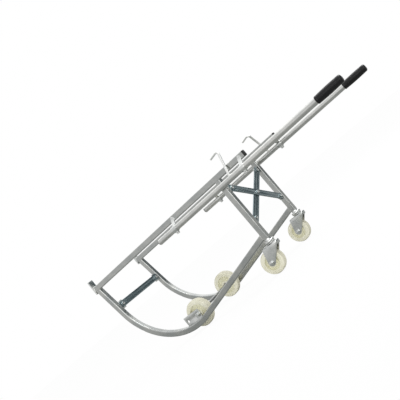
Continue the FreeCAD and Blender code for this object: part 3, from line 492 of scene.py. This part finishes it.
def narrow_top(piece, height):
    """Draws in the upper end of a guide's strap, which runs to a blunt point on the rail."""
    bpy.ops.object.mode_set(mode="EDIT")
    bpy.ops.mesh.select_all(action="DESELECT")
    bpy.ops.object.mode_set(mode="OBJECT")
    chosen = [point for point in piece.data.vertices if point.co.z > height]
    for point in chosen:
        point.select = True
    middle = sum((point.co for point in chosen), Vector()) / len(chosen)
    bpy.ops.object.mode_set(mode="EDIT")
    bpy.ops.transform.resize(value=(POINT_WIDTH, 1, 1), center_override=middle)
    bpy.ops.object.mode_set(mode="OBJECT")


def softened(node, body, width, taper_above=None):
    """Rounds the edges of a copy of a CAD piece, with a bevel of the given width in millimetres."""
    clear_selection()
    mesh = nodes[node].data.copy()
    piece = bpy.data.objects.new(f"rounded_{node}", mesh)
    bpy.context.scene.collection.objects.link(piece)
    piece.select_set(True)
    bpy.context.view_layer.objects.active = piece
    bpy.ops.object.mode_set(mode="EDIT")
    bpy.ops.mesh.select_all(action="SELECT")
    bpy.ops.mesh.customdata_custom_splitnormals_clear()
    bpy.ops.mesh.remove_doubles(threshold=JOIN * MM)
    bpy.ops.mesh.dissolve_limited(angle_limit=math.radians(FLAT_ANGLE))
    bpy.ops.object.mode_set(mode="OBJECT")
    if taper_above is not None:
        narrow_top(piece, taper_above)
    edge = piece.modifiers.new("edge_round", "BEVEL")
    edge.width = width * MM
    edge.segments = 2
    edge.limit_method = "ANGLE"
    edge.angle_limit = math.radians(SHARP_ANGLE)
    edge.harden_normals = False
    bpy.ops.object.modifier_apply(modifier=edge.name)
    return finish_piece(piece, slot_of[node], body, (node,))


# %% Soften the plates, bars and fasteners
ROUNDS = {
    "toe_plate": 1.2, "wheel_bracket": 0.9, "castor_head": 0.8, "rail_cap": 1.2, "castor_axle_nut": 0.6,
    "castor_axle_bolt": 0.6, "lower_guide": 0.7, "upper_guide": 0.7, "tube_plug": 0.5,
}
FRAME_PIECES = (
    "front_cross_bar", "brace_bar_rear", "brace_bar_front", "cross_bar_tabs", "brace_tabs",
    "cross_bar_bolts", "cross_bar_nuts", "brace_bolts", "brace_nuts", "guide_nuts",
    "guide_clamp_bolts", "axle_nuts",
)
FRAME_ROUND, POINT_BELOW_TOP = 0.6, 8 * MM
bodies = frame["record"]["behaviour"]["bodies"]
body_of = {name: body for body, names in bodies.items() for name in names}
rail_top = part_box("rail_left")[1].z
for stem, width in ROUNDS.items():
    taper = rail_top - POINT_BELOW_TOP if "guide" in stem else None
    for side in SIDES:
        softened(f"{stem}_{side}", body_of[f"{stem}_{side}"], width, taper)
for name in FRAME_PIECES:
    softened(name, "frame", FRAME_ROUND)
print("rounded", len(SIDES) * len(ROUNDS) + len(FRAME_PIECES), "pieces")

# %% [markdown]
# ## Weld beads
# The frame's tubes, toe plates and guides are arc-welded. A bead is a row of ripples, each the frozen
# edge of the molten pool. A bead of each length is turned once as a rippled rod with thin ends. Its
# copies, each with its own mesh, are laid half sunk into the joints.

# %% Turn a bead and copy it along a joint
RIPPLE, PLAIN_END, VALLEY, CREST = 2.0, 1.0, 1.4, 1.8
TIP, TIP_RADIUS = 0.2, 0.8
rods = {}


def bead_rod(length):
    rippled = length - 2 * PLAIN_END
    count = max(2, round(rippled / RIPPLE))
    step = rippled / count
    rings = [(0, POLE), (TIP, TIP_RADIUS)]
    for index in range(count):
        base = PLAIN_END + index * step
        rings += [(base, VALLEY), (base + 0.45 * step, CREST)]
    return turned("bead_rod", rings + [(length - TIP, TIP_RADIUS), (length, POLE)], 10)


def lay_bead(number, start, end):
    way = Vector(end) - Vector(start)
    length = round(way.length)
    if length not in rods:
        rods[length] = bead_rod(length)
    bead = rods[length].copy()
    bead.data = rods[length].data.copy()
    bead.name = bead.data.name = f"weld_bead_{number}"
    bpy.context.scene.collection.objects.link(bead)
    turn = way.to_track_quat("Z", "Y").to_matrix().to_4x4()
    finish_piece(bead, "zinc_plate", "frame", smooth=SOFT_CREASE,
                 matrix=Matrix.Translation(Vector(start) * MM) @ turn)


# %% Find the joints of the tubes
# In millimetres: a front leg's width along the rail, how far a bead stops short of a corner, and
# how far it is sunk in a side face, in the rail and in a leg
FRONT_LEG, SHORT, TOE_SHORT = 25.3, 2, 3
SIDE_SINK, RAIL_SINK, LEG_SINK = 1.0, 0.6, 0.4


def mm_box(node):
    low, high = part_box(node)
    return low / MM, high / MM


def frame_seams(side):
    """Lists the start and end of each weld where a side frame's tubes and toe plate meet."""
    rail, rail_far = mm_box(f"rail_{side}")
    leg, leg_far = mm_box(f"rear_leg_{side}")
    heel = rail.x + FRONT_LEG
    under = rail.z + RAIL_SINK
    points = [point.co / MM for point in nodes[f"rocker_{side}"].data.vertices]
    ends = [point.z for point in points if point.x > leg.x - 1]
    low, high = min(ends), max(ends)
    across = [(heel, rail.z), (leg.x, rail.z), (leg_far.x, rail.z),
              (rail.x, rail_far.z), (leg.x, low), (leg.x, high)]
    seams = [((x, rail.y + SHORT, z), (x, rail_far.y - SHORT, z)) for x, z in across]
    for y in (rail.y + SIDE_SINK, rail_far.y - SIDE_SINK):
        seams += [((rail.x + SHORT, y, under), (heel - SHORT, y, under)),
                  ((leg.x + SHORT, y, under), (leg_far.x - SHORT, y, under)),
                  ((rail.x, y, rail.z + TOE_SHORT), (rail.x, y, rail_far.z - TOE_SHORT)),
                  ((leg.x + LEG_SINK, y, low + SHORT), (leg.x + LEG_SINK, y, high - SHORT))]
    return seams


# %% Find the joints of the guides and weld everything
# Half a strap's width where its beads start and end, and how far from the rail's edges that is
STRAP_FOOT, STRAP_POINT, FOOT_RISE, POINT_DROP = 8.6, 3.4, 3, 6


def guide_seams(side):
    """Lists the welds along both edges of each guide's strap, on the outer face of the rail."""
    rail, rail_far = mm_box(f"rail_{side}")
    face = rail.y if side == "left" else rail_far.y
    foot, point = rail.z + FOOT_RISE, rail_far.z - POINT_DROP
    seams = []
    for stem in ("lower_guide", "upper_guide"):
        low, high = mm_box(f"{stem}_{side}")
        middle = (low.x + high.x) / 2
        for way in (-1, 1):
            start = (middle + way * STRAP_FOOT, face, foot)
            end = (middle + way * STRAP_POINT, face, point)
            seams.append((start, end))
    return seams


seams = [seam for side in SIDES for seam in frame_seams(side) + guide_seams(side)]
for number, (start, end) in enumerate(seams):
    lay_bead(number, start, end)
for rod in rods.values():
    bpy.data.objects.remove(rod)
print("laid", len(seams), "weld beads of", len(rods), "lengths")

# %% [markdown]
# ## Studio
# The trolley stands on plain white paper in a white studio. What shapes bright metal is what it
# mirrors, so reflections see a studio of their own: grey paper that pales away from the trolley, a
# ceiling that brightens towards the far side, a bright window beside the camera, and one dark corner
# behind the trolley on the right, which the rearward faces of the tubes reflect. For the camera
# itself the background is plain white. One round lamp above gives the wheels and grips soft light
# and shade.

# %% Floor
clear_selection()
bpy.ops.mesh.primitive_plane_add(size=80.0)
floor = bpy.context.object
floor.name = "studio_floor"
paper, tree = new_finish("white_studio_paper")
rays = add(tree, "ShaderNodeLightPath")
matt = add(tree, "ShaderNodeBsdfDiffuse", {"Color": colour("#f2f2f2")})
glow = add(tree, "ShaderNodeEmission", {"Color": colour("#ffffff"), "Strength": 1.0})
spot = add(tree, "ShaderNodeNewGeometry").outputs["Position"]
reach = add(tree, "ShaderNodeVectorMath", {"operation": "LENGTH"}, {0: spot})
fade = add(tree, "ShaderNodeMapRange", {"From Min": 0.4, "From Max": 3.5}, {0: reach.outputs["Value"]})
tones = add(tree, "ShaderNodeMix", {"data_type": "RGBA", 6: colour("#a4a6a3"), 7: colour("#e0e0de")},
            {0: fade.outputs["Result"]})
shade = add(tree, "ShaderNodeEmission", {"Strength": 1.0}, {"Color": tones.outputs[2]})
seen = add(tree, "ShaderNodeMath", {"operation": "MULTIPLY", 1: 0.94}, {0: rays.outputs["Is Camera Ray"]})
blend = add(tree, "ShaderNodeMixShader", links={
    0: seen.outputs["Value"], 1: matt.outputs["BSDF"], 2: glow.outputs["Emission"]})
mirrored = add(tree, "ShaderNodeMixShader", links={
    0: rays.outputs["Is Glossy Ray"], 1: blend.outputs["Shader"], 2: shade.outputs["Emission"]})
add(tree, "ShaderNodeOutputMaterial", links={"Surface": mirrored.outputs["Shader"]})
floor.data.materials.append(paper)
print("floor of", paper.name)

# %% The studio that the metal mirrors
CORNER, CEILING, WINDOW = (0.72, 0.69, 0.0), (0.0, 0.62, 0.78), (0.5, -0.85, 0.12)
world = bpy.data.worlds.new("white_studio")
bpy.context.scene.world = world
world.use_nodes = True
tree = world.node_tree
tree.nodes.clear()
soft_step = {"interpolation_type": "SMOOTHSTEP"}
ways = add(tree, "ShaderNodeTexCoord").outputs["Generated"]
toward = add(tree, "ShaderNodeVectorMath", {"operation": "DOT_PRODUCT", 1: CORNER}, {0: ways})
corner = add(tree, "ShaderNodeMapRange", {"From Min": 0.62, "From Max": 0.93, **soft_step},
             {0: toward.outputs["Value"]})
split = add(tree, "ShaderNodeSeparateXYZ", links={0: ways})
below = add(tree, "ShaderNodeMapRange",
            {"From Min": 0.28, "From Max": 0.38, "To Min": 1.0, "To Max": 0.0, **soft_step},
            {0: split.outputs["Z"]})
dim = add(tree, "ShaderNodeMath", {"operation": "MULTIPLY"},
          {0: corner.outputs["Result"], 1: below.outputs["Result"]})
walls = add(tree, "ShaderNodeMix", {"data_type": "RGBA", 6: colour("#ffffff"), 7: colour("#404d51")},
            {0: dim.outputs["Value"]})
overhead = add(tree, "ShaderNodeVectorMath", {"operation": "DOT_PRODUCT", 1: CEILING}, {0: ways})
ceiling = add(tree, "ShaderNodeMapRange",
              {"From Min": 0.3, "From Max": 0.9, "To Min": 0.8, "To Max": 1.4, **soft_step},
              {0: overhead.outputs["Value"]})
beside = add(tree, "ShaderNodeVectorMath", {"operation": "DOT_PRODUCT", 1: WINDOW}, {0: ways})
window = add(tree, "ShaderNodeMapRange",
             {"From Min": 0.72, "From Max": 0.95, "To Min": 0.0, "To Max": 1.4, **soft_step},
             {0: beside.outputs["Value"]})
room = add(tree, "ShaderNodeMath", {"operation": "ADD"},
           {0: ceiling.outputs["Result"], 1: window.outputs["Result"]})
mirror = add(tree, "ShaderNodeBackground", links={
    "Color": walls.outputs[2], "Strength": room.outputs["Value"]})
print("mirrored studio of", len(tree.nodes), "nodes")

# %% The studio that the camera and soft light see
rays = add(tree, "ShaderNodeLightPath")
soft = add(tree, "ShaderNodeBackground", {"Color": colour("#ffffff"), "Strength": 0.9})
white = add(tree, "ShaderNodeBackground", {"Color": colour("#ffffff"), "Strength": 1.0})
metal = add(tree, "ShaderNodeMixShader", links={
    0: rays.outputs["Is Glossy Ray"], 1: soft.outputs["Background"], 2: mirror.outputs["Background"]})
final = add(tree, "ShaderNodeMixShader", links={
    0: rays.outputs["Is Camera Ray"], 1: metal.outputs["Shader"], 2: white.outputs["Background"]})
add(tree, "ShaderNodeOutputWorld", links={"Surface": final.outputs["Shader"]})
print("world", world.name, "of", len(tree.nodes), "nodes")

# %% Lamp
LAMP_AIM, LAMP_WAY, LAMP_DISTANCE = Vector((0, 0, 0.3)), Vector((0.56, 0.32, 0.76)).normalized(), 2.6
lamp = bpy.data.lights.new("upper_soft_box", "AREA")
lamp.shape = "DISK"
lamp.size = 1.6
lamp.energy = 30
holder = bpy.data.objects.new("upper_soft_box", lamp)
bpy.context.scene.collection.objects.link(holder)
holder.location = LAMP_AIM + LAMP_WAY * LAMP_DISTANCE
holder.rotation_euler = LAMP_WAY.to_track_quat("Z", "Y").to_euler()
print("lamp at", tuple(round(c, 2) for c in holder.location))

# %% [markdown]
# ## Camera
# The view is from the rear left, a little below the rails. The camera leans on its side by forty
# degrees, so that the trolley appears tipped back, with its grips at the upper right. Its three
# axes are worked out from the way it looks and its roll, which is easier to check than three angles.

# %% Set the camera
VIEW, ROLL, STAND = (-0.4930, 0.8674, 0.0673), 40.26, (1.14616, -2.21028, 0.26331)
lens = bpy.data.cameras.new("photo_camera")
lens.sensor_width = 36.0
lens.lens = 52.43
camera = bpy.data.objects.new("photo_camera", lens)
bpy.context.scene.collection.objects.link(camera)
ahead = Vector(VIEW).normalized()
level = ahead.cross(Vector((0, 0, 1))).normalized()
upright = level.cross(ahead)
roll = math.radians(ROLL)
right = math.cos(roll) * level - math.sin(roll) * upright
up = right.cross(ahead)
turn = Matrix((right, up, -ahead)).transposed().to_4x4()
camera.matrix_world = Matrix.Translation(Vector(STAND)) @ turn
bpy.context.scene.camera = camera
bpy.context.scene.view_settings.view_transform = "Standard"
print("camera right", tuple(round(c, 3) for c in right), "up", tuple(round(c, 3) for c in up))
